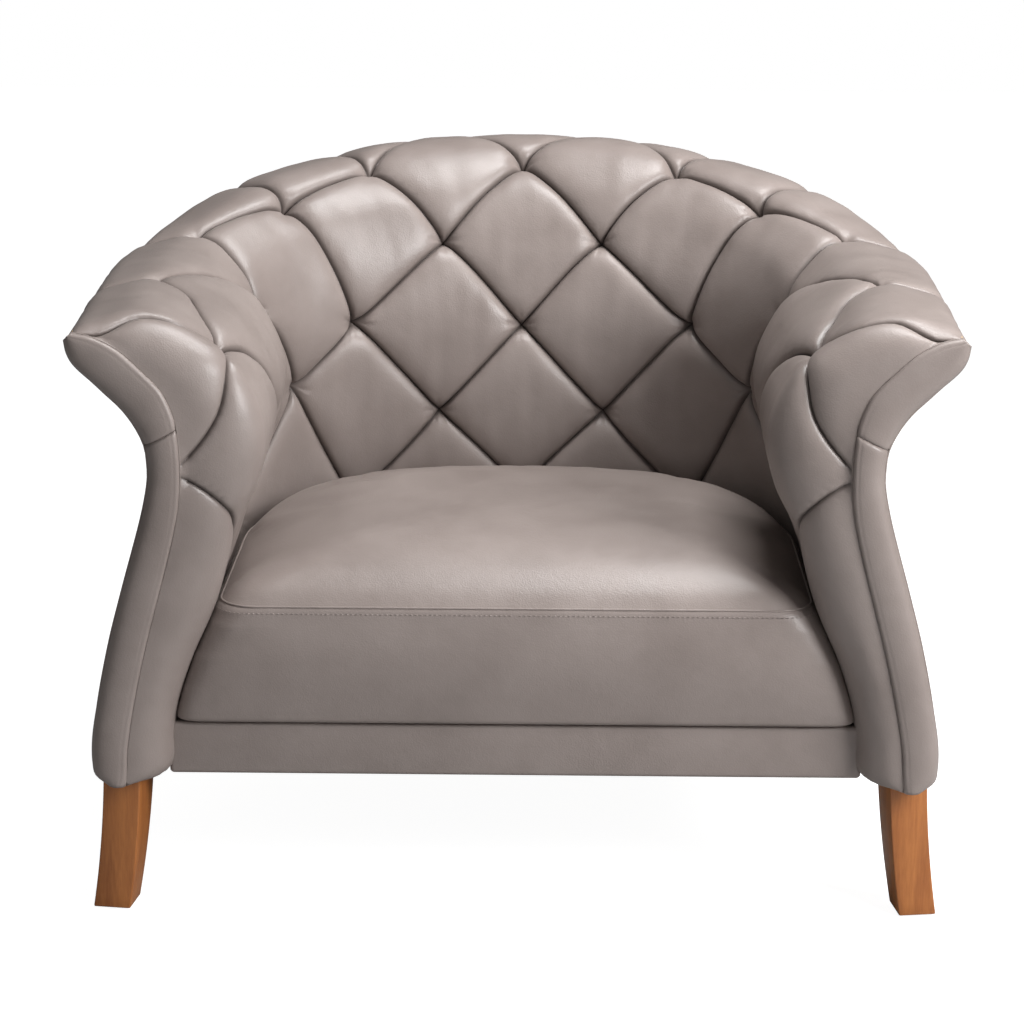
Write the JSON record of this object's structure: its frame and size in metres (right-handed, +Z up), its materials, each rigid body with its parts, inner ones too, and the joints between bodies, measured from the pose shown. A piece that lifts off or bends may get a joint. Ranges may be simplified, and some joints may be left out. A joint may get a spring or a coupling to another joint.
{
  "type": "tufted tub armchair",
  "caption": "Low tub armchair with deep-tufted leather arms and back in one sweeping shell, flared rim, loose boxed seat cushion and splayed square wooden legs.",
  "frame": {"origin": "on the floor, in the middle of the overall width and depth", "axes": "+X to the viewer's right when facing the chair, chair faces -Y, +Z up"},
  "size_m": [1.0606, 0.827, 0.8797],
  "materials": {
    "taupe_leather": "semi-gloss, fine grain",
    "stained_wood": "satin stain",
    "frame_timber": "planed, unfinished",
    "plywood": "sawn, unfinished",
    "fibreboard": "pressed board",
    "zinc_steel": "zinc plated",
    "glide_plastic": "moulded",
    "lining_fabric": "non-woven"
  },
  "bodies": {
    "chair": {"arm_backing_board_left": "fibreboard", "arm_backing_board_right": "fibreboard", "arm_facing_lower_left": "taupe_leather", "arm_facing_lower_right": "taupe_leather", "arm_facing_upper_left": "taupe_leather", "arm_facing_upper_right": "taupe_leather", "arm_front_panel_left": "plywood", "arm_front_panel_right": "plywood", "arm_rib_left": "plywood", "arm_rib_right": "plywood", "arm_rim_rail_left": "frame_timber", "arm_rim_rail_right": "frame_timber", "back_backing_board": "fibreboard", "back_rail": "frame_timber", "back_rib_left": "plywood", "back_rib_right": "plywood", "back_rim_rail": "frame_timber", "corner_blocks": "frame_timber", "corner_rib_left": "plywood", "corner_rib_right": "plywood", "corner_screws": "zinc_steel", "dust_cover": "lining_fabric", "facing_welt_left": "taupe_leather", "facing_welt_right": "taupe_leather", "front_leg_left": "stained_wood", "front_leg_right": "stained_wood", "front_rail": "frame_timber", "front_rail_cover": "taupe_leather", "inside_arm_pad_left": "taupe_leather", "inside_arm_pad_right": "taupe_leather", "inside_back_pad": "taupe_leather", "inside_corner_pad_left": "taupe_leather", "inside_corner_pad_right": "taupe_leather", "leg_bolts": "zinc_steel", "leg_glides": "glide_plastic", "leg_inserts": "zinc_steel", "outside_arm_cover_left": "taupe_leather", "outside_arm_cover_right": "taupe_leather", "outside_back_cover": "taupe_leather", "rear_leg_left": "stained_wood", "rear_leg_right": "stained_wood", "rear_spring_rail": "frame_timber", "seat_deck": "lining_fabric", "seat_spring_1": "zinc_steel", "seat_spring_2": "zinc_steel", "seat_spring_3": "zinc_steel", "seat_spring_4": "zinc_steel", "seat_spring_5": "zinc_steel", "side_rail_left": "frame_timber", "side_rail_right": "frame_timber", "spring_clips": "zinc_steel"},
    "cushion": {"seat_cushion": "taupe_leather"}
  },
  "joints": [
    {"name": "cushion_pull_out", "type": "slide", "parent": "chair", "child": "cushion", "axis": [0, -1, 0], "range_m": [0, 0.55]}
  ]
}
